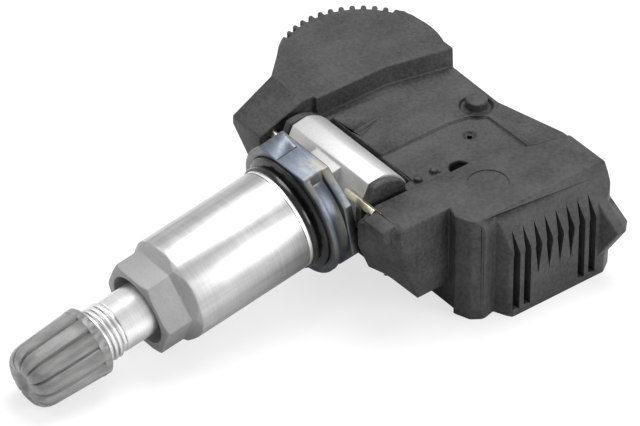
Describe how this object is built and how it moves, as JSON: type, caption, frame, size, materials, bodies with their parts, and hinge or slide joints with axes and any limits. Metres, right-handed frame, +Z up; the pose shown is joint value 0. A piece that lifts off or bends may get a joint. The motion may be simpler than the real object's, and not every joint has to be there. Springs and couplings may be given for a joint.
{
  "type": "tyre pressure sensor",
  "caption": "Clamp-in tyre pressure sensor: moulded housing with vents and battery lobe, swivelling aluminium valve, union nut, sealed collar and dust cap.",
  "frame": {"origin": "on the plane of the housing's underside, straight below the middle of the valve's swivel foot", "axes": "+X along the housing to the vent end, -Y the way the valve points, +Z up, away from the wheel's well"},
  "size_m": [0.0524, 0.0819, 0.0213],
  "materials": {
    "housing_plastic": "fine matt moulding",
    "aluminium": "turned",
    "plated_steel": "blue-white zinc",
    "seal_rubber": "black rubber",
    "cap_plastic": "grey plastic",
    "spring_strip": "pale spring strip",
    "brass": "turned brass",
    "spring_steel": "wire",
    "board": "green solder mask",
    "cell_steel": "nickel plated",
    "ceramic": "ceramic",
    "ferrite": "ferrite",
    "copper": "enamelled copper wire",
    "filter": "porous film"
  },
  "bodies": {
    "housing_body": {"housing": "housing_plastic", "base_cover": "housing_plastic", "spring_clip_left": "spring_strip", "spring_clip_right": "spring_strip", "circuit_board": "board", "coin_cell": "cell_steel", "cell_tab_lower": "cell_steel", "cell_tab_upper": "cell_steel", "pressure_chip": "ferrite", "port_seal": "seal_rubber", "port_filter": "filter", "coil_core": "ferrite", "coil_winding": "copper", "crystal": "cell_steel", "capacitor_1": "ceramic", "capacitor_2": "ceramic", "aerial": "spring_steel"},
    "valve": {"valve_stem": "aluminium", "collar": "plated_steel", "grommet": "seal_rubber", "core_body": "brass", "core_seal": "seal_rubber", "core_spring": "spring_steel"},
    "pin": {"core_pin": "brass", "core_cup": "seal_rubber"},
    "washer": {"slip_washer": "aluminium"},
    "nut": {"union_nut": "aluminium"},
    "seal": {"cap_seal": "seal_rubber"},
    "cap": {"dust_cap": "cap_plastic"}
  },
  "joints": [
    {"name": "valve_tilt", "type": "hinge", "parent": "housing_body", "child": "valve", "pos_m": [0, 0, 0.01335], "axis": [1, 0, 0], "range_deg": [-10, 4]},
    {"name": "pin_press", "type": "slide", "parent": "valve", "child": "pin", "axis": [0, 0.9845, 0.1754], "range_m": [0, 0.0012], "stiffness_N_per_m": 600, "springref_m": -0.001, "deforming": ["core_spring"]},
    {"name": "nut_advance", "type": "slide", "parent": "valve", "child": "washer", "axis": [0, -0.9845, -0.1754], "range_m": [0, 0.006]},
    {"name": "nut_turn", "type": "hinge", "parent": "washer", "child": "nut", "pos_m": [0, -0.01969, 0.00984], "axis": [0, -0.9845, -0.1754], "range_deg": [0, 2160.5]},
    {"name": "cap_advance", "type": "slide", "parent": "valve", "child": "seal", "axis": [0, -0.9845, -0.1754], "range_m": [0, 0.00556]},
    {"name": "cap_turn", "type": "hinge", "parent": "seal", "child": "cap", "pos_m": [0, -0.04627, 0.00511], "axis": [0, -0.9845, -0.1754], "range_deg": [0, 2520.5]}
  ],
  "couplings": [
    {"joint": "nut_turn", "follows": "nut_advance", "rad_per_m": 6283.2},
    {"joint": "cap_turn", "follows": "cap_advance", "rad_per_m": 7913.3}
  ]
}
